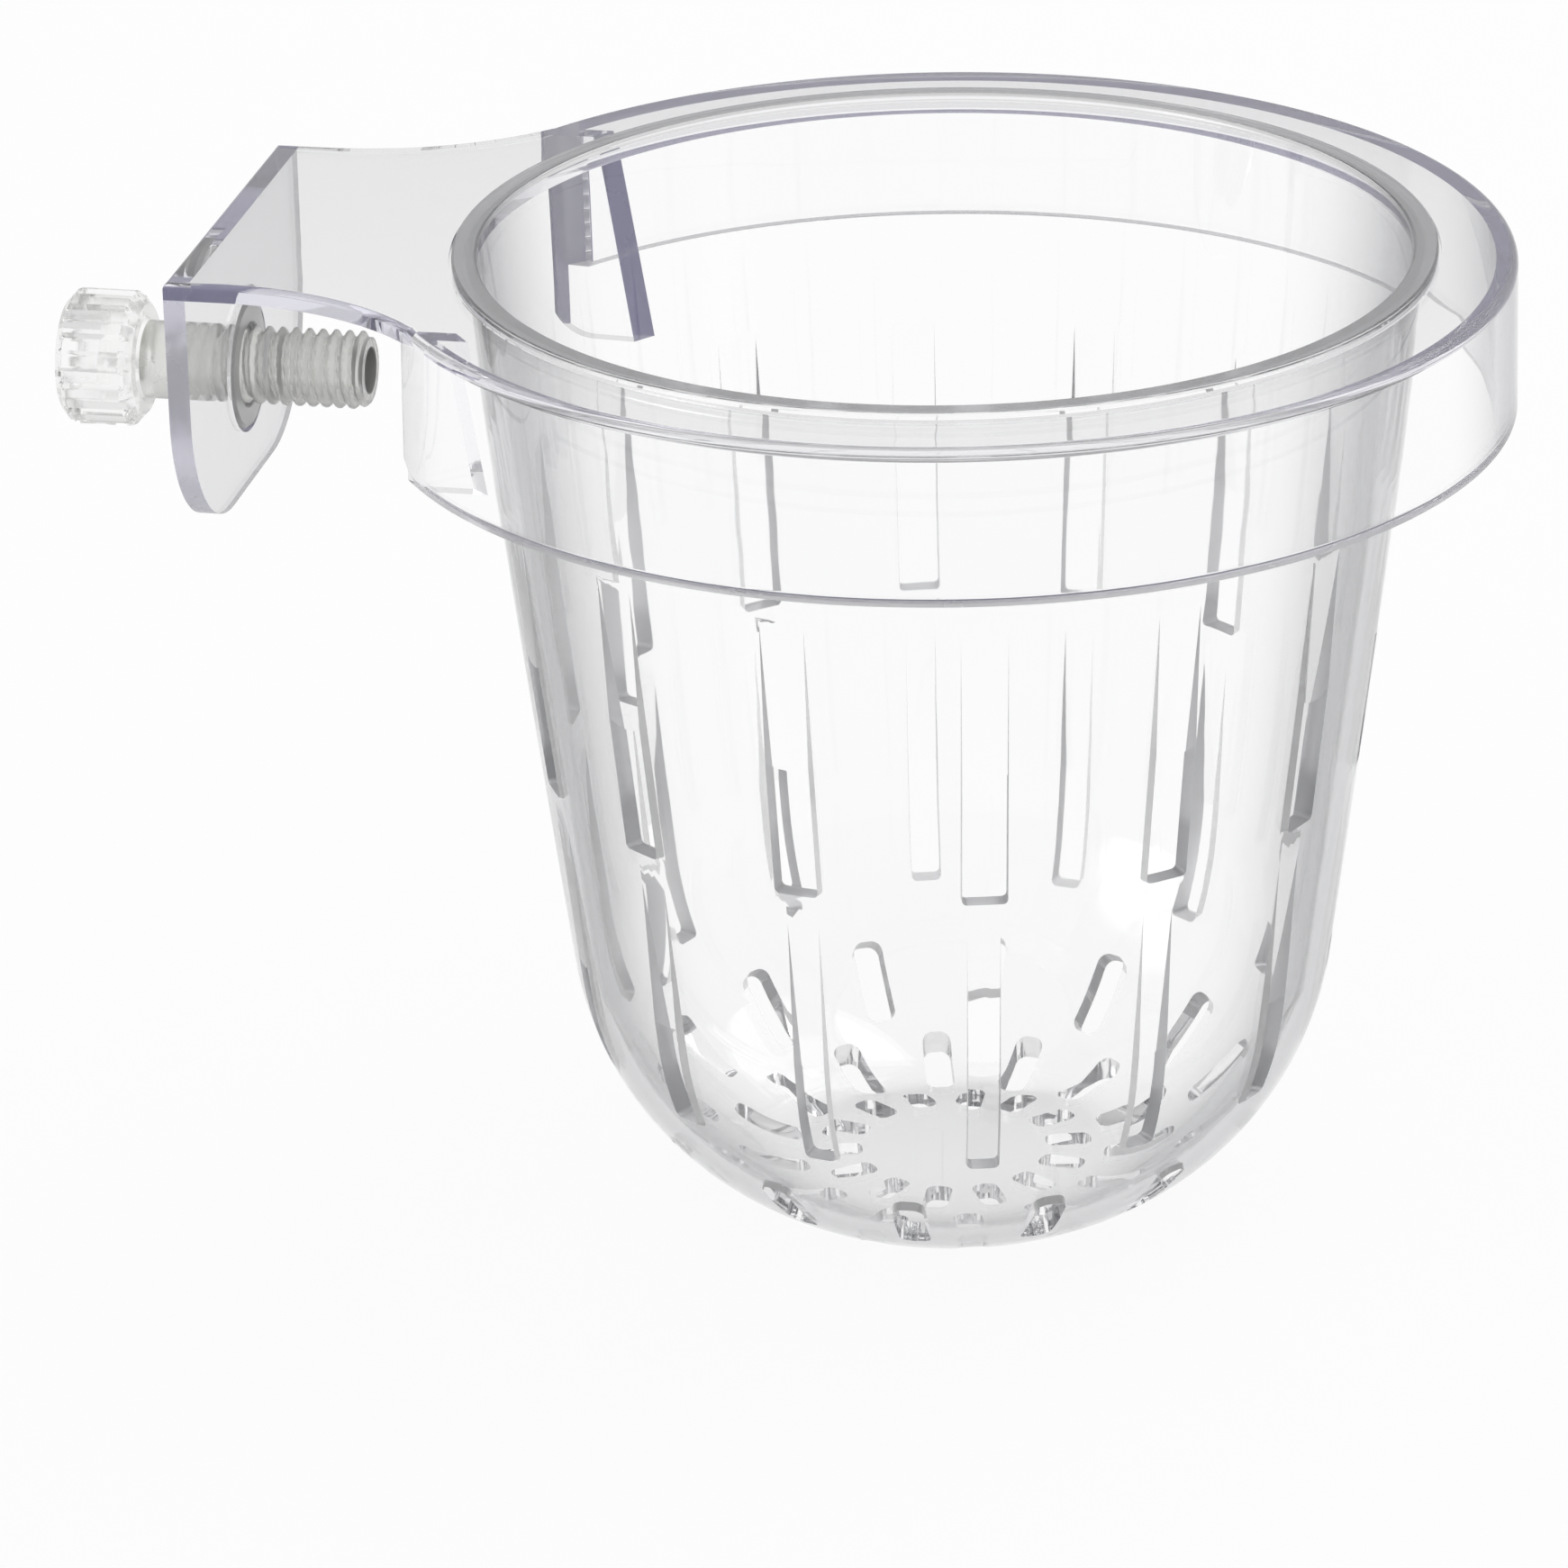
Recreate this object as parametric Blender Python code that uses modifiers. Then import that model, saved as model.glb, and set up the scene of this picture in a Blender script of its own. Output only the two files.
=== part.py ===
"""Clear plastic plant holder that hangs on the wall of a fish tank.

A slotted basket drops into the ring of a hanger. The hanger's arm lies across the top edge of the
tank wall. Two fins under the ring bear on the wall inside the tank, and a thumbscrew, which turns
in a round nut let into the plate at the arm's end, bears on it outside.

The origin is at the middle of the space for the tank wall, on the underside of the arm.
+X points to the basket and +Z up. Lengths are in metres.
"""

import math

import bmesh
import bpy
import numpy as np
from mathutils import Matrix

MM = 0.001

# Fits
SEAT_GAP = 0.3 * MM  # between pieces that touch on the real object
THREAD_GAP = 0.3 * MM  # round the screw's outer diameter
NUT_PROUD = 0.2 * MM  # how far the nut stands out of its recess

# Hanger, arm and plate
TANK_GAP = 24.1 * MM  # from the plate's inner face to the fins
FLANGE_THICKNESS = 1.8 * MM  # flange and arm are one flat plate
ARM_HALF_WIDTH = 21.8 * MM
ARM_SWEEP_RADIUS = 29.0 * MM  # the hollow curve by which the arm widens to the ring
ARM_EDGE_ROUND = 0.6 * MM
CLAMP_THICKNESS = 2.2 * MM
CLAMP_DEPTH = 26.9 * MM  # below the arm's underside
CLAMP_CORNER_RADIUS = 14.0 * MM

# Hanger, ring
FLANGE_WIDTH = 8.95 * MM
FLANGE_EDGE_ROUND = 1.0 * MM
REBATE_DEPTH = 0.6 * MM  # shallow step in the flange that centres the basket's lip
SKIRT_DEPTH = 13.8 * MM  # below the flange's underside
SKIRT_WALL = 2.2 * MM
SKIRT_DRAFT = 0.8  # degrees, wider at the bottom
FIN_THICKNESS = 2.2 * MM
FIN_HALF_SPACING = 30.2 * MM  # from the middle plane to each fin's inner face
FRONT_FIN_DEPTH = 14.2 * MM
BACK_FIN_DEPTH = 21.2 * MM
FIN_CORNER_RADIUS = 5.0 * MM
FIN_BASKET_GAP = 4.6 * MM  # from the basket's wall to the fins, at the flange
FIN_LEAN = 6.7  # degrees, so that the fins follow the tapering basket

# Thumbscrew and nut
SCREW_DROP = 14.5 * MM  # axis below the arm's underside
SCREW_RADIUS = 4.0 * MM
SCREW_LENGTH = 23.6 * MM  # under the knob
SCREW_TIP_CHAMFER = 0.6 * MM
TIP_HOLLOW_RADIUS = 2.4 * MM
TIP_HOLLOW_DEPTH = 1.2 * MM
KNOB_RADIUS = 6.95 * MM
KNOB_LENGTH = 8.0 * MM
KNOB_CHAMFER = 1.0 * MM
KNOB_GAP = 8.6 * MM  # from the knob to the plate as drawn
GROOVES = 12
GROOVE_DEPTH = 0.45 * MM
SOCKET_WIDTH = 6.0 * MM  # across the flats
SOCKET_DEPTH = 4.0 * MM
SOCKET_SIDES = 6
NUT_RADIUS = 6.65 * MM
NUT_THICKNESS = 1.5 * MM
NUT_CHAMFER = 0.4 * MM

# Basket
BASKET_RADIUS = 47.6 * MM  # outside, just under the lip
BASKET_DEPTH = 101.5 * MM  # from the lip's underside to the base
BASKET_WALL = 2.0 * MM
MOUTH_WALL = 1.1 * MM
LIP_OVERHANG = 1.4 * MM
LIP_THICKNESS = 1.0 * MM
LIP_ROUND = 0.35 * MM
UPPER_TAPER = 3.8  # degrees
LOWER_TAPER = 7.4  # degrees
BEND_DEPTH = 18.0 * MM  # where the two tapers would meet, below the lip
BOTTOM_RADIUS = 33.5 * MM
BASE_RADIUS = 14.0 * MM
BASE_JOIN = 60.0  # degrees below level, where the bottom's two radii meet
BASKET_TURN = -75.0  # degrees about its own axis, as it happens to stand

# Slots, in columns of two kinds that stand between one another
COLUMNS = 14
UPPER_SLOT_SPAN = (0.233, 0.519)  # shares of the basket's depth, from the lip's underside
LOWER_SLOT_SPAN = (0.559, 0.825)
UPPER_SLOT_WIDTH = 4.5 * MM
LOWER_SLOT_WIDTH = 3.2 * MM
CURVE_SLOT_SPAN = (36.0, 51.5)  # degrees below level on the bottom radius
CURVE_SLOT_WIDTH = 3.2 * MM
FOOT_SLOT_SPAN = (0.43, 0.63)  # shares of the inner radius at which the bottom starts
FOOT_SLOT_WIDTH = 3.0 * MM
BASE_SLOT_SPAN = (0.26, 0.39)
BASE_SLOT_FILL = 0.62  # share of the way round that these slots take at their inner ends

# Looks
CLEAR = (0.96, 0.96, 0.96)
FAINT_LILAC = (0.93, 0.93, 0.97)
CLOUDY = (0.89, 0.89, 0.87)
GLOSSY = 0.04
SATIN = 0.12
PLASTIC_IOR = 1.58

# Fineness of the model
CUT_MARGIN = 2.0 * MM  # how far a cutter runs past what it cuts
MERGE = 0.05 * MM
RING_SEGMENTS = 96
SCREW_SEGMENTS = 48
SEGMENTS_PER_COLUMN = 6
ROUND_STEPS = 3
ARC_STEPS = 6
SWEEP_STEPS = 10
SHARP_ANGLE = 30.0  # degrees

# Sizes that follow from those above
BORE_RADIUS = BASKET_RADIUS + SEAT_GAP
LIP_RADIUS = BASKET_RADIUS + LIP_OVERHANG
REBATE_RADIUS = LIP_RADIUS + SEAT_GAP
RING_RADIUS = BORE_RADIUS + FLANGE_WIDTH
RING_X = TANK_GAP / 2 + math.sqrt(RING_RADIUS**2 - FIN_HALF_SPACING**2)
LIP_UNDERSIDE = FLANGE_THICKNESS - REBATE_DEPTH + SEAT_GAP
LIP_TOP = LIP_UNDERSIDE + LIP_THICKNESS
BASE_Z = LIP_UNDERSIDE - BASKET_DEPTH
PLATE_OUTER_X = -TANK_GAP / 2 - CLAMP_THICKNESS
KNOB_FRONT = PLATE_OUTER_X - KNOB_GAP
TIP_X = KNOB_FRONT + SCREW_LENGTH


def clear_scene():
    """Removes whatever the scene holds."""
    for obj in list(bpy.data.objects):
        bpy.data.objects.remove(obj, do_unlink=True)


def collection(name, hidden=False):
    """A new collection of the scene."""
    made = bpy.data.collections.new(name)
    made.hide_render = hidden
    bpy.context.scene.collection.children.link(made)
    return made


def as_cutter(obj):
    """Marks a helper that is no part of the object itself."""
    for owner in list(obj.users_collection):
        owner.objects.unlink(obj)
    CUTTERS.objects.link(obj)
    obj.hide_render = True
    obj.display_type = "WIRE"
    return obj


def bake(obj):
    """Gives an object the shape that its modifiers make, smooth but for its corners."""
    bpy.context.view_layer.update()
    graph = bpy.context.evaluated_depsgraph_get()
    shape = bpy.data.meshes.new_from_object(obj.evaluated_get(graph))
    shape.name = obj.name
    obj.modifiers.clear()
    obj.data = shape
    shape.shade_smooth()
    shape.set_sharp_from_angle(angle=math.radians(SHARP_ANGLE))
    return obj


def combine(obj, other, operation, solver="EXACT"):
    """Cuts the other body from this one, or joins it to this one."""
    step = obj.modifiers.new(other.name, "BOOLEAN")
    step.operation = operation
    step.solver = solver
    step.object = other
    as_cutter(other)
    return bake(obj)


def turned(name, profile, segments, closed=False):
    """A body turned about Z. Its (radius, height) points run down its outer side."""
    count = len(profile)
    edges = [(i, (i + 1) % count) for i in range(count if closed else count - 1)]
    mesh = bpy.data.meshes.new(name)
    mesh.from_pydata([(radius, 0, height) for radius, height in profile], edges, [])
    obj = bpy.data.objects.new(name, mesh)
    PARTS.objects.link(obj)
    screw = obj.modifiers.new("Turn", "SCREW")
    screw.steps = screw.render_steps = segments
    screw.use_merge_vertices = True
    screw.merge_threshold = MERGE
    return bake(obj)


def flat_plate(name, outline, thickness):
    """A flat outline in XY with half its thickness above z = 0 and half below."""
    curve = bpy.data.curves.new(name, "CURVE")
    curve.dimensions = "2D"
    curve.fill_mode = "BOTH"
    curve.extrude = thickness / 2
    spline = curve.splines.new("POLY")
    spline.points.add(len(outline) - 1)
    for point, (x, y) in zip(spline.points, outline):
        point.co = (x, y, 0, 1)
    spline.use_cyclic_u = True
    drawn = bpy.data.objects.new(name, curve)
    PARTS.objects.link(drawn)
    bpy.context.view_layer.update()
    graph = bpy.context.evaluated_depsgraph_get()
    mesh = bpy.data.meshes.new_from_object(drawn.evaluated_get(graph))
    welded = bmesh.new()
    welded.from_mesh(mesh)
    bmesh.ops.remove_doubles(welded, verts=welded.verts, dist=MERGE)
    bmesh.ops.dissolve_limit(
        welded, angle_limit=math.radians(0.5), verts=welded.verts, edges=welded.edges
    )
    bmesh.ops.recalc_face_normals(welded, faces=welded.faces)
    welded.to_mesh(mesh)
    welded.free()
    obj = bpy.data.objects.new(name, mesh)
    obj.matrix_world = drawn.matrix_world
    bpy.data.objects.remove(drawn)
    PARTS.objects.link(obj)
    return obj


def boxes(name, placed):
    """One mesh of separate boxes, each given by its size and its matrix."""
    bm = bmesh.new()
    for size, matrix in placed:
        scaled = matrix @ Matrix.Diagonal((*size, 1))
        bmesh.ops.create_cube(bm, size=1, matrix=scaled)
    mesh = bpy.data.meshes.new(name)
    bm.to_mesh(mesh)
    bm.free()
    obj = bpy.data.objects.new(name, mesh)
    PARTS.objects.link(obj)
    return obj


def span_box(low, high):
    """The size and matrix of a box between two opposite corners."""
    size = [b - a for a, b in zip(low, high)]
    middle = [(a + b) / 2 for a, b in zip(low, high)]
    return size, Matrix.Translation(middle)


def arc(centre, radius, start, end, steps):
    """Points on an arc between two angles in degrees, both ends included."""
    angles = [math.radians(start + (end - start) * i / steps) for i in range(steps + 1)]
    return [
        (centre[0] + radius * math.cos(a), centre[1] + radius * math.sin(a))
        for a in angles
    ]


def bow(start, pull, end, steps):
    """Points on a parabola between two points, tangent to the lines to the third."""
    points = []
    for i in range(steps + 1):
        t = i / steps
        weights = ((1 - t) ** 2, 2 * t * (1 - t), t**2)
        points.append(
            tuple(
                sum(w * p[axis] for w, p in zip(weights, (start, pull, end)))
                for axis in (0, 1)
            )
        )
    return points


def skirt_radius(height):
    """Outer radius of the ring's skirt, which widens downwards from the rounded edge."""
    drop = FLANGE_THICKNESS - FLANGE_EDGE_ROUND - height
    return RING_RADIUS + drop * math.tan(math.radians(SKIRT_DRAFT))


def fin_radius(height):
    """Radius at which the fins end beside the basket."""
    lean = height * math.tan(math.radians(FIN_LEAN))
    return BASKET_RADIUS + FIN_BASKET_GAP + lean


# Hanger


def fin_outline(depth):
    """A fin seen from the side, too long at both ends, its outer lower corner rounded."""
    outer = TANK_GAP / 2 - CUT_MARGIN / 2
    corner = (outer + FIN_CORNER_RADIUS, -depth + FIN_CORNER_RADIUS)
    return [
        (RING_X, CUT_MARGIN),
        (outer, CUT_MARGIN),
        *arc(corner, FIN_CORNER_RADIUS, 180, 270, ARC_STEPS),
        (RING_X, -depth),
    ]


def fin(name, side, depth):
    """A fin's plate, upright and parallel to X, ending at the cone about the basket."""
    plate = flat_plate(name, fin_outline(depth), FIN_THICKNESS)
    plate.rotation_euler = (math.radians(90), 0, 0)
    plate.location = (0, side * (FIN_HALF_SPACING + FIN_THICKNESS / 2), 0)
    above = CUT_MARGIN * 2
    below = -depth - CUT_MARGIN
    profile = [(0, above), (fin_radius(above), above), (fin_radius(below), below), (0, below)]
    cone = turned(name + "_end", profile, RING_SEGMENTS)
    cone.location.x = RING_X
    return combine(plate, cone, "DIFFERENCE")


def skirt():
    """The skirt's arc, thicker than it ends up, open between the middles of the fins."""
    above = CUT_MARGIN
    outside = RING_RADIUS + 4 * CUT_MARGIN
    profile = [
        (skirt_radius(above) - SKIRT_WALL, above),
        (outside, above),
        (outside, -SKIRT_DEPTH),
        (skirt_radius(-SKIRT_DEPTH) - SKIRT_WALL, -SKIRT_DEPTH),
    ]
    ring = turned("skirt", profile, RING_SEGMENTS, closed=True)
    ring.location.x = RING_X
    middle = FIN_HALF_SPACING + FIN_THICKNESS / 2
    low = (-TANK_GAP, -middle, -SKIRT_DEPTH - CUT_MARGIN)
    opening = boxes("skirt_opening", [span_box(low, (RING_X, middle, 2 * CUT_MARGIN))])
    return combine(ring, opening, "DIFFERENCE")


def ring_blank():
    """The flange with a thick ring below it, out of which the skirt and the fins are cut."""
    below = -BACK_FIN_DEPTH - CUT_MARGIN
    edge = (RING_RADIUS - FLANGE_EDGE_ROUND, FLANGE_THICKNESS - FLANGE_EDGE_ROUND)
    profile = [
        (REBATE_RADIUS, FLANGE_THICKNESS),
        *arc(edge, FLANGE_EDGE_ROUND, 90, 0, ROUND_STEPS),
        (skirt_radius(below), below),
        (BORE_RADIUS, below),
        (BORE_RADIUS, FLANGE_THICKNESS - REBATE_DEPTH),
        (REBATE_RADIUS, FLANGE_THICKNESS - REBATE_DEPTH),
    ]
    blank = turned("hanger_bracket", profile, RING_SEGMENTS, closed=True)
    blank.location.x = RING_X
    return blank


def under_flange():
    """All the space under the flange, less the skirt and the fins."""
    below = -BACK_FIN_DEPTH - 2 * CUT_MARGIN
    side = skirt_radius(below) + CUT_MARGIN
    corners = ((RING_X - side, -side, below), (RING_X + side, side, 0))
    space = boxes("under_flange", [span_box(*corners)])
    combine(space, skirt(), "DIFFERENCE")
    combine(space, fin("front_fin", -1, FRONT_FIN_DEPTH), "DIFFERENCE")
    return combine(space, fin("back_fin", 1, BACK_FIN_DEPTH), "DIFFERENCE")


def arm_outline():
    """Plan of the arm, from the plate's outer face to the middle of the flange."""
    past = FIN_HALF_SPACING + CUT_MARGIN / 2
    rise = FIN_HALF_SPACING - ARM_HALF_WIDTH
    reach = math.sqrt(ARM_SWEEP_RADIUS**2 - (ARM_SWEEP_RADIUS - rise) ** 2)
    centre = (TANK_GAP / 2 - reach, ARM_HALF_WIDTH + ARM_SWEEP_RADIUS)
    end = -math.degrees(math.asin((centre[1] - past) / ARM_SWEEP_RADIUS))
    side = [
        (PLATE_OUTER_X, ARM_HALF_WIDTH),
        *arc(centre, ARM_SWEEP_RADIUS, -90, end, SWEEP_STEPS),
    ]
    root = (REBATE_RADIUS + RING_RADIUS) / 2
    spread = math.degrees(math.asin(past / root))
    hidden = arc((RING_X, 0), root, 180 - spread, 180 + spread, SWEEP_STEPS)
    return [*side, *hidden, *[(x, -y) for x, y in reversed(side)]]


def arm():
    """The flat arm, with its upper edges rounded."""
    plate = flat_plate("arm", arm_outline(), FLANGE_THICKNESS)
    plate.location.z = FLANGE_THICKNESS / 2
    bm = bmesh.new()
    bm.from_mesh(plate.data)
    upper = [edge for edge in bm.edges if min(vert.co.z for vert in edge.verts) > 0]
    bmesh.ops.bevel(
        bm,
        geom=upper,
        offset=ARM_EDGE_ROUND,
        offset_type="OFFSET",
        segments=ROUND_STEPS,
        profile=0.5,
        affect="EDGES",
        clamp_overlap=True,
    )
    bm.to_mesh(plate.data)
    bm.free()
    return plate


def clamp_plate():
    """The plate that hangs from the arm's end outside the tank."""
    corner = CLAMP_CORNER_RADIUS
    low = -CLAMP_DEPTH + corner
    side = ARM_HALF_WIDTH - corner
    outline = [
        (-ARM_HALF_WIDTH, FLANGE_THICKNESS / 2),
        *arc((-side, low), corner, 180, 270, ARC_STEPS),
        *arc((side, low), corner, 270, 360, ARC_STEPS),
        (ARM_HALF_WIDTH, FLANGE_THICKNESS / 2),
    ]
    plate = flat_plate("clamp_plate", outline, CLAMP_THICKNESS)
    plate.rotation_euler = (math.radians(90), 0, math.radians(90))
    plate.location.x = PLATE_OUTER_X + CLAMP_THICKNESS / 2
    return combine(plate, nut_recess(), "DIFFERENCE")


def nut_recess():
    """The stepped hole of the plate: a bore for the screw and a recess for the nut."""
    shoulder = -TANK_GAP / 2 + NUT_PROUD - NUT_THICKNESS - SEAT_GAP
    bore = SCREW_RADIUS + THREAD_GAP
    recess = NUT_RADIUS + SEAT_GAP
    profile = [
        (0, -TANK_GAP / 2 + CUT_MARGIN),
        (recess, -TANK_GAP / 2 + CUT_MARGIN),
        (recess, shoulder),
        (bore, shoulder),
        (bore, PLATE_OUTER_X - CUT_MARGIN),
        (0, PLATE_OUTER_X - CUT_MARGIN),
    ]
    return along_screw(turned("nut_recess", profile, SCREW_SEGMENTS))


def build_hanger():
    """Ring, arm, fins and plate, moulded in one piece."""
    hanger = ring_blank()
    combine(hanger, under_flange(), "DIFFERENCE")
    # arm and plate share planes with what they join, which the exact solver leaves open
    combine(hanger, arm(), "UNION", "MANIFOLD")
    return combine(hanger, clamp_plate(), "UNION", "MANIFOLD")


# Thumbscrew and nut


def along_screw(obj):
    """Lays a body turned about Z along the screw's axis, its top towards the tank wall."""
    obj.rotation_euler = (0, math.radians(90), 0)
    obj.location.z = -SCREW_DROP
    return obj


def knob_grooves():
    """Straight grooves round the knob, as wide as the ribs between them."""
    width = math.pi * KNOB_RADIUS / GROOVES
    depth = GROOVE_DEPTH + CUT_MARGIN
    size = (depth, width, KNOB_LENGTH + 2 * CUT_MARGIN)
    middle = (KNOB_RADIUS - GROOVE_DEPTH + depth / 2, 0, KNOB_FRONT - KNOB_LENGTH / 2)
    placed = []
    for i in range(GROOVES):
        turn = Matrix.Rotation(2 * math.pi * i / GROOVES, 4, "Z")
        placed.append((size, turn @ Matrix.Translation(middle)))
    return along_screw(boxes("knob_grooves", placed))


def knob_socket():
    """The socket in the knob's outer end."""
    bm = bmesh.new()
    radius = SOCKET_WIDTH / 2 / math.cos(math.pi / SOCKET_SIDES)
    depth = SOCKET_DEPTH + CUT_MARGIN
    middle = KNOB_FRONT - KNOB_LENGTH + SOCKET_DEPTH - depth / 2
    bmesh.ops.create_cone(
        bm,
        cap_ends=True,
        segments=SOCKET_SIDES,
        radius1=radius,
        radius2=radius,
        depth=depth,
        matrix=Matrix.Translation((0, 0, middle)),
    )
    mesh = bpy.data.meshes.new("knob_socket")
    bm.to_mesh(mesh)
    bm.free()
    obj = bpy.data.objects.new("knob_socket", mesh)
    PARTS.objects.link(obj)
    return along_screw(obj)


def build_screw():
    """The thumbscrew, with its shank at the thread's outer diameter."""
    back = KNOB_FRONT - KNOB_LENGTH
    profile = [
        (0, TIP_X - TIP_HOLLOW_DEPTH),
        (TIP_HOLLOW_RADIUS, TIP_X - TIP_HOLLOW_DEPTH),
        (TIP_HOLLOW_RADIUS, TIP_X),
        (SCREW_RADIUS - SCREW_TIP_CHAMFER, TIP_X),
        (SCREW_RADIUS, TIP_X - SCREW_TIP_CHAMFER),
        (SCREW_RADIUS, KNOB_FRONT),
        (KNOB_RADIUS - KNOB_CHAMFER, KNOB_FRONT),
        (KNOB_RADIUS, KNOB_FRONT - KNOB_CHAMFER),
        (KNOB_RADIUS, back + KNOB_CHAMFER),
        (KNOB_RADIUS - KNOB_CHAMFER, back),
        (0, back),
    ]
    screw = along_screw(turned("clamp_screw", profile, SCREW_SEGMENTS))
    combine(screw, knob_grooves(), "DIFFERENCE")
    combine(screw, knob_socket(), "DIFFERENCE")
    return screw


def build_nut():
    """The round nut in the plate's recess, its bore at the thread's outer diameter."""
    bore = SCREW_RADIUS + THREAD_GAP
    front = -TANK_GAP / 2 + NUT_PROUD
    back = front - NUT_THICKNESS
    profile = [
        (bore, front),
        (NUT_RADIUS - NUT_CHAMFER, front),
        (NUT_RADIUS, front - NUT_CHAMFER),
        (NUT_RADIUS, back + NUT_CHAMFER),
        (NUT_RADIUS - NUT_CHAMFER, back),
        (bore, back),
    ]
    return along_screw(turned("clamp_nut", profile, SCREW_SEGMENTS, closed=True))


# Basket


def basket_lines():
    """Where the wall bends, and the centres of the bottom's two radii."""
    taper = math.radians(LOWER_TAPER)
    join = math.radians(BASE_JOIN)
    bend_z = LIP_UNDERSIDE - BEND_DEPTH
    bend = (BASKET_RADIUS - BEND_DEPTH * math.tan(math.radians(UPPER_TAPER)), bend_z)
    step = BOTTOM_RADIUS - BASE_RADIUS
    bottom_z = BASE_Z + BASE_RADIUS + step * math.sin(join)
    wall = bend[0] - (bend_z - bottom_z) * math.tan(taper)
    bottom = (wall - BOTTOM_RADIUS / math.cos(taper), bottom_z)
    base = (bottom[0] + step * math.cos(join), BASE_Z + BASE_RADIUS)
    return bend, bottom, base


def basket_side(top, inset):
    """The basket's side and bottom, from a point at the lip down to the axis."""
    bend, bottom, base = basket_lines()
    pull = (bend[0] - inset / math.cos(math.radians(LOWER_TAPER)), bend[1])
    curve = arc(bottom, BOTTOM_RADIUS - inset, -LOWER_TAPER, -BASE_JOIN, ARC_STEPS)
    foot = arc(base, BASE_RADIUS - inset, -BASE_JOIN, -90, ROUND_STEPS)
    wall = bow(top, pull, curve[0], ARC_STEPS)
    return [*wall, *curve[1:], *foot[1:], (0, BASE_Z + inset)]


def basket_inside():
    """The basket's inner side, from the lip down to the axis."""
    return basket_side((BASKET_RADIUS - MOUTH_WALL, LIP_TOP - LIP_ROUND), BASKET_WALL)


def inner_radius(height):
    """Radius of the basket's inner side at a height."""
    radii, heights = zip(*reversed(basket_inside()))
    return float(np.interp(height, heights, radii))


def inner_height(radius):
    """Height of the basket's inner side at a radius."""
    radii, heights = zip(*reversed(basket_inside()))
    return float(np.interp(radius, radii, heights))


def basket_shell():
    """The basket before its slots are cut."""
    mouth = BASKET_RADIUS - MOUTH_WALL
    outer = basket_side((BASKET_RADIUS, LIP_UNDERSIDE), 0)
    round_z = LIP_TOP - LIP_ROUND
    lip = [
        *arc((mouth + LIP_ROUND, round_z), LIP_ROUND, 180, 90, ROUND_STEPS)[1:],
        *arc((LIP_RADIUS - LIP_ROUND, round_z), LIP_ROUND, 90, 0, ROUND_STEPS),
        (LIP_RADIUS, LIP_UNDERSIDE),
    ]
    profile = [*reversed(basket_inside()), *lip, *outer]
    return turned("basket", profile, COLUMNS * SEGMENTS_PER_COLUMN)


def wall_slot(span, width):
    """A slot through the side wall, between two shares of the basket's depth."""
    top, low = (LIP_UNDERSIDE - share * BASKET_DEPTH for share in span)
    inside = inner_radius(low) - CUT_MARGIN
    outside = BASKET_RADIUS + CUT_MARGIN
    return span_box((inside, -width / 2, low), (outside, width / 2, top))


def curve_slot():
    """A slot through the bottom radius, square to the wall at its middle."""
    _, bottom, _ = basket_lines()
    start, end = CURVE_SLOT_SPAN
    half = math.radians(end - start) / 2
    middle = math.radians(end + start) / 2
    radius = BOTTOM_RADIUS - BASKET_WALL / 2
    place = (
        bottom[0] + radius * math.cos(middle),
        0,
        bottom[1] - radius * math.sin(middle),
    )
    size = (
        BASKET_WALL + 2 * CUT_MARGIN,
        CURVE_SLOT_WIDTH,
        2 * BOTTOM_RADIUS * math.sin(half),
    )
    return size, Matrix.Translation(place) @ Matrix.Rotation(middle, 4, "Y")


def floor_span(span):
    """The two radii of a slot in the floor."""
    _, bottom, _ = basket_lines()
    return [share * inner_radius(bottom[1]) for share in span]


def floor_slot(span, width):
    """A slot straight down through the floor."""
    start, end = floor_span(span)
    above = inner_height(end) + CUT_MARGIN
    below = BASE_Z - CUT_MARGIN
    return span_box((start, -width / 2, below), (end, width / 2, above))


def slot_pattern():
    """Every slot, in two kinds of column set half a pitch apart."""
    base_width = BASE_SLOT_FILL * 2 * math.pi * floor_span(BASE_SLOT_SPAN)[0] / COLUMNS
    straight = [
        wall_slot(UPPER_SLOT_SPAN, UPPER_SLOT_WIDTH),
        wall_slot(LOWER_SLOT_SPAN, LOWER_SLOT_WIDTH),
        floor_slot(FOOT_SLOT_SPAN, FOOT_SLOT_WIDTH),
    ]
    between = [curve_slot(), floor_slot(BASE_SLOT_SPAN, base_width)]
    placed = []
    for i in range(2 * COLUMNS):
        turn = Matrix.Rotation(math.pi * i / COLUMNS, 4, "Z")
        kind = between if i % 2 else straight
        placed += [(size, turn @ matrix) for size, matrix in kind]
    return boxes("slots", placed)


def build_basket():
    """The slotted basket, free to lift out of the ring."""
    basket = combine(basket_shell(), slot_pattern(), "DIFFERENCE")
    basket.location.x = RING_X
    basket.rotation_euler.z = math.radians(BASKET_TURN)
    return basket


# Materials


def clear_plastic(obj, colour, roughness):
    """A clear plastic of the object's own."""
    material = bpy.data.materials.new(obj.name)
    material.use_nodes = True
    shader = material.node_tree.nodes["Principled BSDF"]
    shader.inputs["Base Color"].default_value = (*colour, 1)
    shader.inputs["Roughness"].default_value = roughness
    shader.inputs["Metallic"].default_value = 0
    shader.inputs["Transmission Weight"].default_value = 1
    shader.inputs["IOR"].default_value = PLASTIC_IOR
    obj.data.materials.clear()
    obj.data.materials.append(material)


clear_scene()
PARTS = collection("aquarium_plant_holder")
CUTTERS = collection("cutters", hidden=True)
clear_plastic(build_hanger(), FAINT_LILAC, GLOSSY)
clear_plastic(build_basket(), CLEAR, GLOSSY)
clear_plastic(build_screw(), CLOUDY, SATIN)
clear_plastic(build_nut(), CLOUDY, SATIN)
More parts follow.
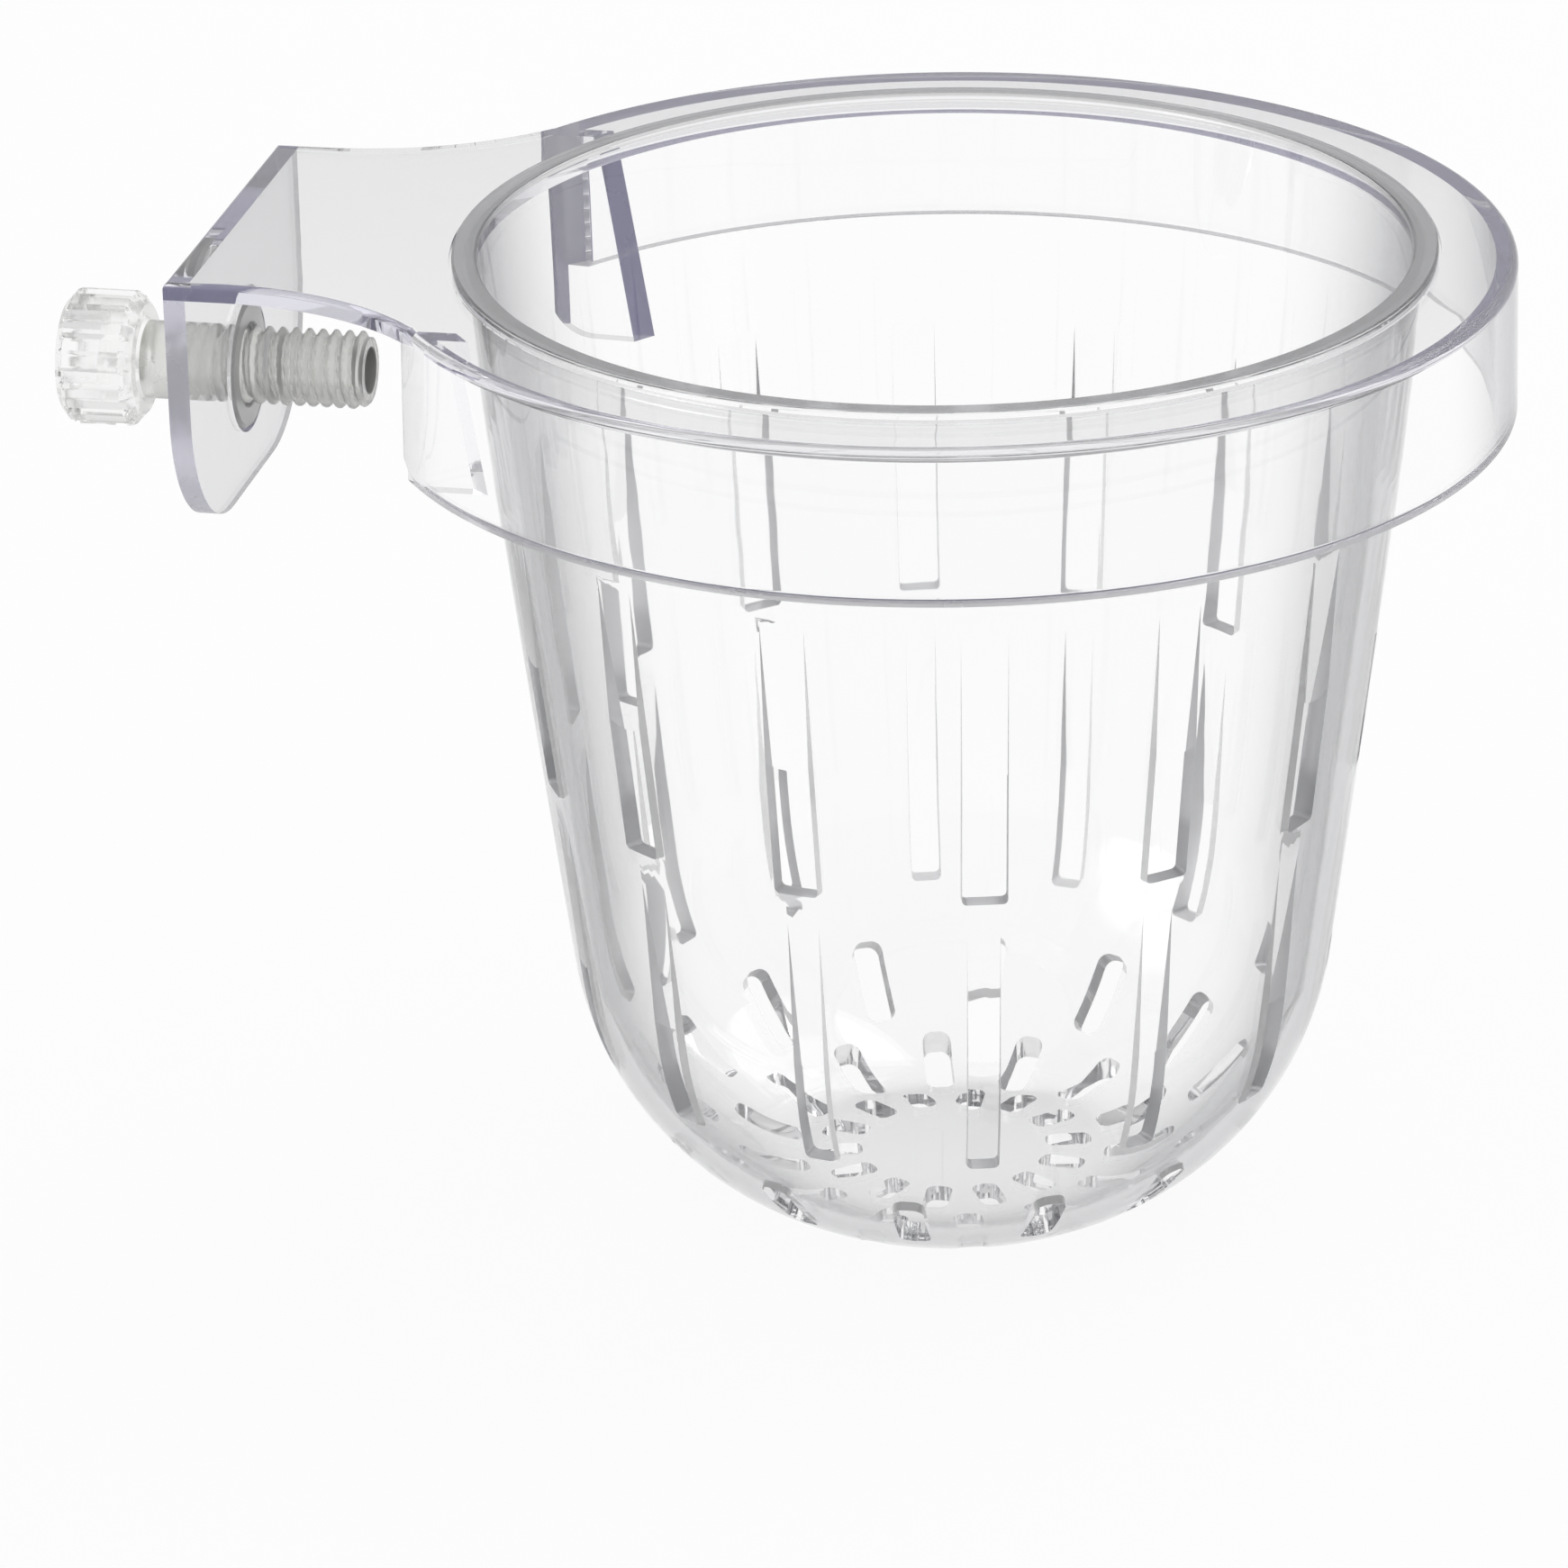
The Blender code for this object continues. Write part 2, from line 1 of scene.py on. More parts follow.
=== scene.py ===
import math

import bmesh
import bpy
import numpy as np
from mathutils import Matrix, Vector


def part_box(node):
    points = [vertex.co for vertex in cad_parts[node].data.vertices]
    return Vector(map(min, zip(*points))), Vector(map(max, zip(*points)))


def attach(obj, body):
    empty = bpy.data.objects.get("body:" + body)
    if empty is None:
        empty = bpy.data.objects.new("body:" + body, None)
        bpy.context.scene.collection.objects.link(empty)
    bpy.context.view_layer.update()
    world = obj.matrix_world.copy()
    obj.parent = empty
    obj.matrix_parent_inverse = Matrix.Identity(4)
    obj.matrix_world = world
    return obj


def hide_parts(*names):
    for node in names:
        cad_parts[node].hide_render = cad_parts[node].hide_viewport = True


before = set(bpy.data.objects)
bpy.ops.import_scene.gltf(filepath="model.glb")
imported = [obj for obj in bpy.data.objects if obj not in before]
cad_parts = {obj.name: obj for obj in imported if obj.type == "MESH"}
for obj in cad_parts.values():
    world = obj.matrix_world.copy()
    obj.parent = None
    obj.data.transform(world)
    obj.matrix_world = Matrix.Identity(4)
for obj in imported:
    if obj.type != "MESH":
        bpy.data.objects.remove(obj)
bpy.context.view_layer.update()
scene = bpy.context.scene
MM = 0.001

# Sizes that the solids have
GAP = 0.3 * MM  # between pieces that touch on the real object, and round the screw
TANK_GAP = 24.1 * MM  # from the clamp plate to the fins

BASKET = 47.6 * MM  # outside radius just under the lip
DEPTH = 101.5 * MM  # from the lip's underside to the base
WALL = 2.0 * MM
MOUTH_WALL = 1.1 * MM
LIP_OVERHANG = 1.4 * MM
LIP_THICKNESS = 1.0 * MM
LIP_ROUND = 0.35 * MM
UPPER_TAPER = math.radians(3.8)
LOWER_TAPER = math.radians(7.4)
BEND = 18.0 * MM  # below the lip, where the two tapers would meet
BOTTOM = 33.5 * MM  # radius of the large curve below the wall
BASE = 14.0 * MM  # radius of the small curve at the base
BASE_JOIN = math.radians(60)  # below level, where the bottom's two radii meet
BASKET_TURN = math.radians(-75)  # about its own axis, as it happens to stand
COLUMNS = 14

FLANGE = 1.8 * MM
FLANGE_WIDTH = 8.95 * MM
FLANGE_ROUND = 1.0 * MM
REBATE = 0.6 * MM
SKIRT = 13.8 * MM  # below the flange's underside
SKIRT_WALL = 2.2 * MM
SKIRT_DRAFT = math.radians(0.8)
FIN = 2.2 * MM
FIN_HALF = 30.2 * MM  # from the middle plane to each fin's inner face
FRONT_FIN = 14.2 * MM  # below the flange's underside, and so is the back one
BACK_FIN = 21.2 * MM
FIN_CORNER = 5.0 * MM
FIN_BASKET_GAP = 4.6 * MM
FIN_LEAN = math.radians(6.7)
ARM_HALF = 21.8 * MM
ARM_SWEEP = 29.0 * MM  # radius of the hollow curve by which the arm widens
ARM_ROUND = 0.6 * MM
PLATE = 2.2 * MM
PLATE_DEPTH = 26.9 * MM  # below the arm's underside
PLATE_CORNER = 14.0 * MM

SCREW = 4.0 * MM  # outer radius of its thread
TIP_CHAMFER = 0.6 * MM
KNOB_RADIUS = 6.95 * MM
KNOB_LENGTH = 8.0 * MM
GROOVES = 12
GROOVE_DEPTH = 0.45 * MM
SOCKET_HALF = 3.0 * MM  # half the width across the flats
SOCKET_DEPTH = 4.0 * MM
NUT_RADIUS = 6.65 * MM
NUT_PROUD = 0.2 * MM
NUT_THICKNESS = 1.5 * MM
NUT_CHAMFER = 0.4 * MM

# Sizes and places that follow
BORE = BASKET + GAP
LIP = BASKET + LIP_OVERHANG
REBATE_RADIUS = LIP + GAP
RING = BORE + FLANGE_WIDTH
FIN_TOP = BASKET + FIN_BASKET_GAP
FIN_MIDDLE = FIN_HALF + FIN / 2
LIP_UNDER = FLANGE - REBATE + GAP
LIP_TOP = LIP_UNDER + LIP_THICKNESS
BASE_Z = LIP_UNDER - DEPTH
RING_X = TANK_GAP / 2 + math.sqrt(RING**2 - FIN_HALF**2)
PLATE_X = -TANK_GAP / 2 - PLATE
screw_low, screw_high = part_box("clamp_screw")
AXIS_Z = (screw_low.z + screw_high.z) / 2
KNOB_BACK = screw_low.x
KNOB_FRONT = KNOB_BACK + KNOB_LENGTH
TIP = screw_high.x

# Details that the solids have plainer or not at all
SKIRT_ROUND = 0.35 * MM
PITCH = 1.4 * MM
THREAD_DEPTH = 0.62 * MM
THREAD_START = KNOB_FRONT + 5.6 * MM
THREAD_FADE = 0.8 * PITCH
THREAD_CREST = 0.84  # share of the way from the valley's middle to the crest's, where the flank ends
THREAD_FLANK = 0.62  # and the flank's length, in the same share
RIDGE_HALF = 0.22  # of a knob's ridge, as a share of the way from ridge to ridge
GROOVE_SLOPE = 0.06  # of a groove's side, in the same share
KNOB_END = ((0, 1.0), (0.5, 0.5), (0.75, 0.12), (1.0, 0))  # mm inward from its end, mm off its radius
KNOB_SHOULDER = ((1.3, 0), (1.0, 0.15), (0.7, 0.55), (0, 1.3))
SHANK_FILLET = 0.3 * MM
SOCKET_CHAMFER = 0.2 * MM
SOCKET_CHAMFER_DEPTH = 0.25 * MM
SOCKET_POINT = 0.3 * MM  # how much deeper the middle of its bottom is
HOLE_END = 0.05 * MM  # radius of the small face that closes a hole
TIP_HOLLOW = 2.45 * MM
TIP_HOLLOW_DEPTH = 1.2 * MM
NUT_MOUTH = 0.15 * MM
NUT_GROOVE = 0.2 * MM

# How finely the shapes are cut up, and margins
RING_STEPS = 288
BASKET_STEPS = 22 * COLUMNS
SCREW_STEPS = 192
NUT_STEPS = 96
THREAD_STEPS = 14  # for each pitch
WALL_STEPS = 30
BASE_STEPS = 12
LIP_STEPS = 6
SLOT_CORNER_STEPS = 6
FLANGE_EDGE_STEPS = 8
SKIRT_FOOT_STEPS = 4
FIN_CORNER_STEPS = 12
ARM_SWEEP_STEPS = 28
ARM_ROOT_STEPS = 24
ARM_ROUND_STEPS = 5
PLATE_CORNER_STEPS = 20
CUT = 2.0 * MM  # how far a cutter runs past what it cuts
NEAR = 0.05 * MM  # how close a face's middle is to the surface that it belongs to
SAME_PLACE = 0.001 * MM
ON_AXIS = 0.0001 * MM
SHARP_ANGLE = 30
NORMAL_WEIGHT = 80


# Shaping
def new_object(name, data):
    thing = bpy.data.objects.new(name, data)
    scene.collection.objects.link(thing)
    return thing


def from_bmesh(name, data):
    bmesh.ops.recalc_face_normals(data, faces=data.faces)
    mesh = bpy.data.meshes.new(name)
    data.to_mesh(mesh)
    data.free()
    return new_object(name, mesh)


def turns(count):
    """Angles that part a full turn evenly."""
    return [2 * math.pi * i / count for i in range(count)]


def arc(centre, radius, start, end, steps):
    return [(centre[0] + radius * math.cos(a), centre[1] + radius * math.sin(a))
            for a in (start + (end - start) * i / steps for i in range(steps + 1))]


def bridge(data, first, second):
    """Makes the faces between two rows of points. One of the rows may be a single point."""
    count = max(len(first), len(second))
    for i in range(count):
        j = (i + 1) % count
        if len(first) == 1:
            data.faces.new((first[0], second[j], second[i]))
        elif len(second) == 1:
            data.faces.new((first[i], first[j], second[0]))
        else:
            data.faces.new((first[i], first[j], second[j], second[i]))


def lathe(name, profile, steps, closed=False):
    """Turns (radius, height) points about Z. Points on the axis become one vertex."""
    data = bmesh.new()
    rows = []
    for radius, height in profile:
        if radius < ON_AXIS:
            rows.append([data.verts.new((0, 0, height))])
        else:
            rows.append([data.verts.new((radius * math.cos(a), radius * math.sin(a), height))
                         for a in turns(steps)])
    for first, second in zip(rows, rows[1:]):
        bridge(data, first, second)
    if closed:
        bridge(data, rows[-1], rows[0])
    return from_bmesh(name, data)


def rounded(width, height, radius):
    """Outline of a rounded rectangle about the origin."""
    points = []
    for sx, sy, start in ((1, 1, 0), (-1, 1, 90), (-1, -1, 180), (1, -1, 270)):
        centre = (sx * (width / 2 - radius), sy * (height / 2 - radius))
        points += arc(centre, radius, math.radians(start), math.radians(start + 90),
                      SLOT_CORNER_STEPS)
    return points


def prism(data, outline, low, high, matrix):
    """Pulls an outline in XY from one height to another, then places it."""
    rows = [[data.verts.new(matrix @ Vector((x, y, z))) for x, y in outline] for z in (low, high)]
    bridge(data, *rows)
    data.faces.new(list(reversed(rows[0])))
    data.faces.new(rows[1])


def slab(name, outline, low, high, matrix=Matrix.Identity(4)):
    data = bmesh.new()
    prism(data, outline, low, high, matrix)
    return from_bmesh(name, data)


def apply(thing):
    graph = bpy.context.evaluated_depsgraph_get()
    bpy.context.view_layer.update()
    mesh = bpy.data.meshes.new_from_object(thing.evaluated_get(graph))
    mesh.name = thing.name
    thing.modifiers.clear()
    thing.data = mesh
    return thing


def combine(thing, other, operation):
    step = thing.modifiers.new("step", "BOOLEAN")
    step.operation = operation
    step.solver = "MANIFOLD"
    step.object = other
    apply(thing)
    bpy.data.objects.remove(other)


def merge_points(thing):
    """Merges points that a boolean leaves on one another, which makes faces of no size."""
    data = bmesh.new()
    data.from_mesh(thing.data)
    bmesh.ops.remove_doubles(data, verts=data.verts, dist=SAME_PLACE)
    bmesh.ops.dissolve_degenerate(data, edges=data.edges, dist=SAME_PLACE / 2)
    data.to_mesh(thing.data)
    data.free()


def settle(thing):
    """Puts an object's place and turn into its mesh, so that its box is a tight one."""
    bpy.context.view_layer.update()
    thing.data.transform(thing.matrix_world)
    thing.matrix_world = Matrix.Identity(4)


def smooth(thing, angle=SHARP_ANGLE):
    settle(thing)
    thing.data.shade_smooth()
    thing.data.set_sharp_from_angle(angle=math.radians(angle))
    weigh = thing.modifiers.new("weigh", "WEIGHTED_NORMAL")
    weigh.keep_sharp = True
    weigh.weight = NORMAL_WEIGHT
    return apply(thing)


def face_values(mesh, what):
    """The middles or normals of a mesh's faces, one row for each face."""
    values = np.empty(3 * len(mesh.polygons))
    mesh.polygons.foreach_get(what, values)
    return values.reshape(-1, 3)


def give_materials(mesh, numbers):
    mesh.polygons.foreach_set("material_index", np.asarray(numbers, dtype=np.int32))
    mesh.update()


# Hanger
UNDER_FINS = -BACK_FIN - CUT  # lower than the deeper fin


def skirt_radius(height):
    return RING + (FLANGE - FLANGE_ROUND - height) * math.tan(SKIRT_DRAFT)


def ring_blank():
    """The flange with its rebate, and below it a thick band that holds skirt and fins."""
    edge = (RING - FLANGE_ROUND, FLANGE - FLANGE_ROUND)
    ring = lathe("hanger_clear", [
        (REBATE_RADIUS, FLANGE),
        *arc(edge, FLANGE_ROUND, math.pi / 2, 0, FLANGE_EDGE_STEPS),
        (skirt_radius(UNDER_FINS), UNDER_FINS),
        (BORE, UNDER_FINS),
        (BORE, FLANGE - REBATE),
        (REBATE_RADIUS, FLANGE - REBATE)], RING_STEPS, closed=True)
    ring.location.x = RING_X
    return ring


def skirt():
    """A shape that covers what stays of the band as the skirt. It is open between the fins."""
    foot = -SKIRT
    outer = skirt_radius(foot)
    corner = (outer - SKIRT_WALL + SKIRT_ROUND, foot + SKIRT_ROUND)
    wide = RING + 4 * CUT
    keep = lathe("skirt", [
        (skirt_radius(CUT) - SKIRT_WALL, CUT),
        (wide, CUT),
        (wide, foot),
        (outer, foot),
        *arc(corner, SKIRT_ROUND, -math.pi / 2, -math.pi, SKIRT_FOOT_STEPS)],
        RING_STEPS, closed=True)
    keep.location.x = RING_X
    opening = slab("opening", [(-TANK_GAP, -FIN_MIDDLE), (RING_X, -FIN_MIDDLE),
                               (RING_X, FIN_MIDDLE), (-TANK_GAP, FIN_MIDDLE)], foot - CUT, 2 * CUT)
    combine(keep, opening, "DIFFERENCE")
    return keep


def fin(side, depth):
    """A shape that covers what stays as a fin. Its end by the basket follows a cone round it."""
    outside = TANK_GAP / 2 - CUT / 2
    corner = (outside + FIN_CORNER, -depth + FIN_CORNER)
    outline = [(RING_X, CUT), (outside, CUT),
               *arc(corner, FIN_CORNER, math.pi, 1.5 * math.pi, FIN_CORNER_STEPS),
               (RING_X, -depth)]
    upright = Matrix.Translation((0, side * FIN_MIDDLE, 0)) @ Matrix.Rotation(math.pi / 2, 4, "X")
    blade = slab("fin", outline, -FIN / 2, FIN / 2, upright)
    high, low = 2 * CUT, -depth - CUT
    cone = lathe("cone", [(0, high), (FIN_TOP + high * math.tan(FIN_LEAN), high),
                          (FIN_TOP + low * math.tan(FIN_LEAN), low), (0, low)], RING_STEPS)
    cone.location.x = RING_X
    combine(blade, cone, "DIFFERENCE")
    return blade


def cut_below_flange(ring):
    """Takes away all of the band but skirt and fins."""
    side = skirt_radius(UNDER_FINS) + CUT
    space = slab("space", [(RING_X - side, -side), (RING_X + side, -side),
                           (RING_X + side, side), (RING_X - side, side)], UNDER_FINS - CUT, 0)
    combine(space, skirt(), "DIFFERENCE")
    combine(space, fin(-1, FRONT_FIN), "DIFFERENCE")
    combine(space, fin(1, BACK_FIN), "DIFFERENCE")
    combine(ring, space, "DIFFERENCE")


def arm():
    """The arm, which widens to the ring by a hollow curve. Its upper edges are rounded."""
    past = FIN_HALF + CUT / 2
    rise = FIN_HALF - ARM_HALF
    reach = math.sqrt(ARM_SWEEP**2 - (ARM_SWEEP - rise) ** 2)
    centre = (TANK_GAP / 2 - reach, ARM_HALF + ARM_SWEEP)
    end = -math.asin((centre[1] - past) / ARM_SWEEP)
    side = [(PLATE_X, ARM_HALF), *arc(centre, ARM_SWEEP, -math.pi / 2, end, ARM_SWEEP_STEPS)]
    root = (REBATE_RADIUS + RING) / 2
    spread = math.asin(past / root)
    hidden = arc((RING_X, 0), root, math.pi - spread, math.pi + spread, ARM_ROOT_STEPS)
    bar = slab("arm", [*side, *hidden, *[(x, -y) for x, y in reversed(side)]], 0, FLANGE)
    data = bmesh.new()
    data.from_mesh(bar.data)
    upper = [e for e in data.edges if min(v.co.z for v in e.verts) > FLANGE / 2]
    bmesh.ops.bevel(data, geom=upper, offset=ARM_ROUND, offset_type="OFFSET",
                    segments=ARM_ROUND_STEPS, profile=0.5, affect="EDGES", clamp_overlap=True)
    data.to_mesh(bar.data)
    data.free()
    return bar


def clamp_plate():
    """The clamp plate, with the nut's recess and the screw's bore."""
    low = -PLATE_DEPTH + PLATE_CORNER
    half = ARM_HALF - PLATE_CORNER
    outline = [(-ARM_HALF, FLANGE / 2),
               *arc((-half, low), PLATE_CORNER, math.pi, 1.5 * math.pi, PLATE_CORNER_STEPS),
               *arc((half, low), PLATE_CORNER, 1.5 * math.pi, 2 * math.pi, PLATE_CORNER_STEPS),
               (ARM_HALF, FLANGE / 2)]
    upright = Matrix.Translation((PLATE_X + PLATE / 2, 0, 0)) @ Matrix.Rotation(
        math.pi / 2, 4, "Z") @ Matrix.Rotation(math.pi / 2, 4, "X")
    plate = slab("plate", outline, -PLATE / 2, PLATE / 2, upright)
    shoulder = -TANK_GAP / 2 + NUT_PROUD - NUT_THICKNESS - GAP
    recess = lathe("recess", [
        (0, -TANK_GAP / 2 + CUT), (NUT_RADIUS + GAP, -TANK_GAP / 2 + CUT),
        (NUT_RADIUS + GAP, shoulder), (SCREW + GAP, shoulder),
        (SCREW + GAP, PLATE_X - CUT), (0, PLATE_X - CUT)], NUT_STEPS)
    recess.rotation_euler = (0, math.pi / 2, 0)
    recess.location.z = AXIS_Z
    combine(plate, recess, "DIFFERENCE")
    return plate


def hanger_faces(mesh):
    """Numbers of the looks: 1 back fin's ends, 2 plate's edge and skirt's foot, 3 back fin's root. Looks
    1 and 2 are coloured darker as painted shade.
    """
    root_length, root_overlap, root_margin = 3.2 * MM, 0.3 * MM, 0.2 * MM
    foot_height, nut_margin = 0.36 * MM, 1.0 * MM
    facing_down, sideways = -0.2, 0.3
    x, y, z = face_values(mesh, "center").T
    normal_x, _, normal_z = face_values(mesh, "normal").T
    radius = np.hypot(x - RING_X, y)
    below = z < -NEAR
    behind = y > 0
    cone = FIN_TOP + z * math.tan(FIN_LEAN)
    basket_end = np.abs(radius - cone) < NEAR
    glass_end = np.abs(x - TANK_GAP / 2) < NEAR
    root = (np.abs(y) > FIN_HALF) & (x < TANK_GAP / 2 + root_length) & (
        radius > RING - root_overlap) & (z > -SKIRT + root_margin)
    foot = (np.abs(z + SKIRT) < foot_height) & (normal_z < facing_down)
    plate_edge = (x < PLATE_X + PLATE) & (np.abs(normal_x) < sideways) & (
        np.hypot(y, z - AXIS_Z) > NUT_RADIUS + nut_margin)
    return np.select([(basket_end | glass_end) & below & behind,
                      (plate_edge & below) | foot,
                      root & below & behind], [1, 2, 3], 0)


def build_hanger():
    hanger = ring_blank()
    cut_below_flange(hanger)
    combine(hanger, arm(), "UNION")
    combine(hanger, clamp_plate(), "UNION")
    settle(hanger)
    merge_points(hanger)
    give_materials(hanger.data, hanger_faces(hanger.data))
    return smooth(hanger)


# Basket
UPPER_SLOT = ((0.233, 0.519), 4.5 * MM, 0.5 * MM)  # span as shares of the depth, width, corners
LOWER_SLOT = ((0.559, 0.825), 3.2 * MM, 0.6 * MM)
CURVE_SLOT = ((math.radians(36), math.radians(51.5)), 3.2 * MM, 1.2 * MM)  # span below level
FOOT_SLOT = ((0.43, 0.63), 3.0 * MM, 1.1 * MM)  # span as shares of the wall's inner radius
BASE_SPAN = (0.26, 0.39)
BASE_CORNER = 1.0 * MM
BASE_FILL = 0.62  # share of the way round that the base slots take at their inner ends
OUTWARD = Matrix(((0, 0, 1, 0), (1, 0, 0, 0), (0, 1, 0, 0), (0, 0, 0, 1)))  # an outline faces along X


def basket_lines():
    """Where the two tapers meet, and the centres of the bottom's two radii."""
    bend_z = LIP_UNDER - BEND
    bend = (BASKET - BEND * math.tan(UPPER_TAPER), bend_z)
    step = BOTTOM - BASE
    bottom_z = BASE_Z + BASE + step * math.sin(BASE_JOIN)
    wall = bend[0] - (bend_z - bottom_z) * math.tan(LOWER_TAPER)
    bottom = (wall - BOTTOM / math.cos(LOWER_TAPER), bottom_z)
    return bend, bottom, (bottom[0] + step * math.cos(BASE_JOIN), BASE_Z + BASE)


def basket_side(top, inset):
    """The side from its top point to the middle of the base, set inward by a distance."""
    bend, bottom, base = basket_lines()
    pull = (bend[0] - inset / math.cos(LOWER_TAPER), bend[1])
    curve = arc(bottom, BOTTOM - inset, -LOWER_TAPER, -BASE_JOIN, WALL_STEPS)
    foot = arc(base, BASE - inset, -BASE_JOIN, -math.pi / 2, BASE_STEPS)
    wall = []
    for i in range(WALL_STEPS + 1):
        t = i / WALL_STEPS
        a, b, c = (1 - t) ** 2, 2 * t * (1 - t), t * t
        wall.append(tuple(a * top[k] + b * pull[k] + c * curve[0][k] for k in (0, 1)))
    return [*wall, *curve[1:], *foot[1:], (0, BASE_Z + inset)]


def radius_at(side, height):
    """Radius of a side at a height. A side's points run from the mouth down to the base."""
    rising = np.array(side)[::-1]
    return np.interp(height, rising[:, 1], rising[:, 0])


def height_at(side, radius):
    rising = np.array(side)[::-1]
    return np.interp(radius, rising[:, 0], rising[:, 1])


def wall_slot(data, turn, inside, slot):
    """A slot cut from inside. Toward its top the cut gets shallow and runs out in the wall."""
    (a, b), width, corner = slot
    top, low = LIP_UNDER - a * DEPTH, LIP_UNDER - b * DEPTH
    start = radius_at(inside, low) - CUT
    runout = radius_at(inside, top)
    place = Matrix.Translation((0, 0, (top + CUT + low) / 2))
    prism(data, rounded(width, top + CUT - low, corner), start, runout, turn @ place @ OUTWARD)


def curve_slot(data, turn, bottom):
    (start, end), width, corner = CURVE_SLOT
    mid = (start + end) / 2
    radius = BOTTOM - WALL / 2
    place = Matrix.Translation((bottom[0] + radius * math.cos(mid), 0,
                                bottom[1] - radius * math.sin(mid)))
    lean = Matrix.Rotation(mid, 4, "Y")
    outline = rounded(width, 2 * BOTTOM * math.sin((end - start) / 2), corner)
    prism(data, outline, -WALL / 2 - CUT, WALL / 2 + CUT, turn @ place @ lean @ OUTWARD)


def bottom_slot(data, turn, inside, wall, slot):
    (a, b), width, corner = slot
    top = height_at(inside, b * wall) + CUT
    place = Matrix.Translation(((a + b) / 2 * wall, 0, 0))
    prism(data, rounded((b - a) * wall, width, corner), BASE_Z - CUT, top, turn @ place)


def slots(inside):
    """All slots, in two kinds of column that take turns."""
    bottom = basket_lines()[1]
    wall = radius_at(inside, bottom[1])
    base_slot = (BASE_SPAN, BASE_FILL * 2 * math.pi * BASE_SPAN[0] * wall / COLUMNS, BASE_CORNER)
    data = bmesh.new()
    for i in range(2 * COLUMNS):
        turn = Matrix.Rotation(math.pi * i / COLUMNS, 4, "Z")
        if i % 2 == 0:
            wall_slot(data, turn, inside, UPPER_SLOT)
            wall_slot(data, turn, inside, LOWER_SLOT)
            bottom_slot(data, turn, inside, wall, FOOT_SLOT)
        else:
            curve_slot(data, turn, bottom)
            bottom_slot(data, turn, inside, wall, base_slot)
    return from_bmesh("slots", data)


def off_lines(points, lines):
    """Distance of (radius, height) points from the nearest of some broken lines."""
    nearest = np.full(len(points), np.inf)
    for line in lines:
        line = np.array(line)
        for first, second in zip(line, line[1:]):
            step = second - first
            share = np.clip((points - first) @ step / (step @ step), 0, 1)
            nearest = np.minimum(nearest, np.linalg.norm(points - first - share[:, None] * step, axis=1))
    return nearest


def basket_faces(mesh, inside, lip, outside):
    """Numbers of the looks: 1 slot sides in the wall, 2 top of the lip. Both are coloured greyer as
    painted shade.
    """
    off_surface, radial, wall_share, top_height = 0.03 * MM, 0.8, 0.62, 0.02 * MM
    centres = face_values(mesh, "center")
    normals = face_values(mesh, "normal")
    radius = np.hypot(centres[:, 0], centres[:, 1])
    height = centres[:, 2]
    points = np.stack([radius, height], axis=1)
    across = np.abs((normals[:, :2] * centres[:, :2]).sum(axis=1)) / radius.clip(MM)
    cut = off_lines(points, [inside, lip, outside, [lip[-1], outside[0]]]) > off_surface
    cut &= (across < radial) & (radius > wall_share * BASKET)
    top = (height > LIP_TOP - top_height) & (radius > BASKET - MOUTH_WALL)
    return np.where(top, 2, cut.astype(int))


def build_basket():
    mouth = BASKET - MOUTH_WALL
    round_z = LIP_TOP - LIP_ROUND
    inside = basket_side((mouth, round_z), WALL)
    outside = basket_side((BASKET, LIP_UNDER), 0)
    lip = [*arc((mouth + LIP_ROUND, round_z), LIP_ROUND, math.pi, math.pi / 2, LIP_STEPS)[1:],
           *arc((LIP - LIP_ROUND, round_z), LIP_ROUND, math.pi / 2, 0, LIP_STEPS),
           (LIP, LIP_UNDER)]
    basket = lathe("basket_clear", [*reversed(inside), *lip, *outside], BASKET_STEPS)
    combine(basket, slots(inside), "DIFFERENCE")
    give_materials(basket.data, basket_faces(basket.data, inside, lip, outside))
    basket.rotation_euler.z = BASKET_TURN
    basket.location.x = RING_X
    return smooth(basket)


# Thumbscrew and nut
def ring_at(data, x, radius_of):
    return [data.verts.new((x, radius_of(a) * math.cos(a), AXIS_Z + radius_of(a) * math.sin(a)))
            for a in turns(SCREW_STEPS)]


def loft(data, rings):
    for first, second in zip(rings, rings[1:]):
        bridge(data, first, second)
    data.faces.new(rings[0])
    data.faces.new(rings[-1])


def limit(share):
    return min(1.0, max(0.0, share))


def plain(radius):
    return lambda turn: radius


def hexagon(turn):
    return SOCKET_HALF / math.cos(turn % (math.pi / 3) - math.pi / 6)


def knob(outer):
    """A knob's ring, with grooves into its outer radius."""
    def radius(turn):
        phase = (turn * GROOVES / (2 * math.pi)) % 1.0
        return outer - GROOVE_DEPTH * limit((abs(phase - 0.5) - RIDGE_HALF) / GROOVE_SLOPE)
    return radius


def thread(x):
    """A ring of the thread, which fades in at its start and ends in the tip's chamfer."""
    def radius(turn):
        if x < THREAD_START:
            return SCREW
        phase = ((x - THREAD_START) / PITCH - turn / (2 * math.pi)) % 1.0
        valley = limit((THREAD_CREST - abs(2 * phase - 1)) / THREAD_FLANK)
        fade = min(1.0, (x - THREAD_START) / THREAD_FADE)
        end = limit((TIP - x) / TIP_CHAMFER)
        crest = SCREW - TIP_CHAMFER * (1 - end)
        return max(crest - THREAD_DEPTH * valley * fade * end, SCREW - THREAD_DEPTH)
    return radius


def socket_rings(data):
    """The hexagonal hole in the knob's outer end, from its bottom to its mouth."""
    deep = KNOB_BACK + SOCKET_DEPTH
    return [
        ring_at(data, deep + SOCKET_POINT, plain(HOLE_END)),
        ring_at(data, deep, plain(SOCKET_HALF - 0.1 * MM)),
        ring_at(data, deep, hexagon),
        ring_at(data, KNOB_BACK + SOCKET_CHAMFER_DEPTH, hexagon),
        ring_at(data, KNOB_BACK, lambda turn: hexagon(turn) + SOCKET_CHAMFER),
    ]


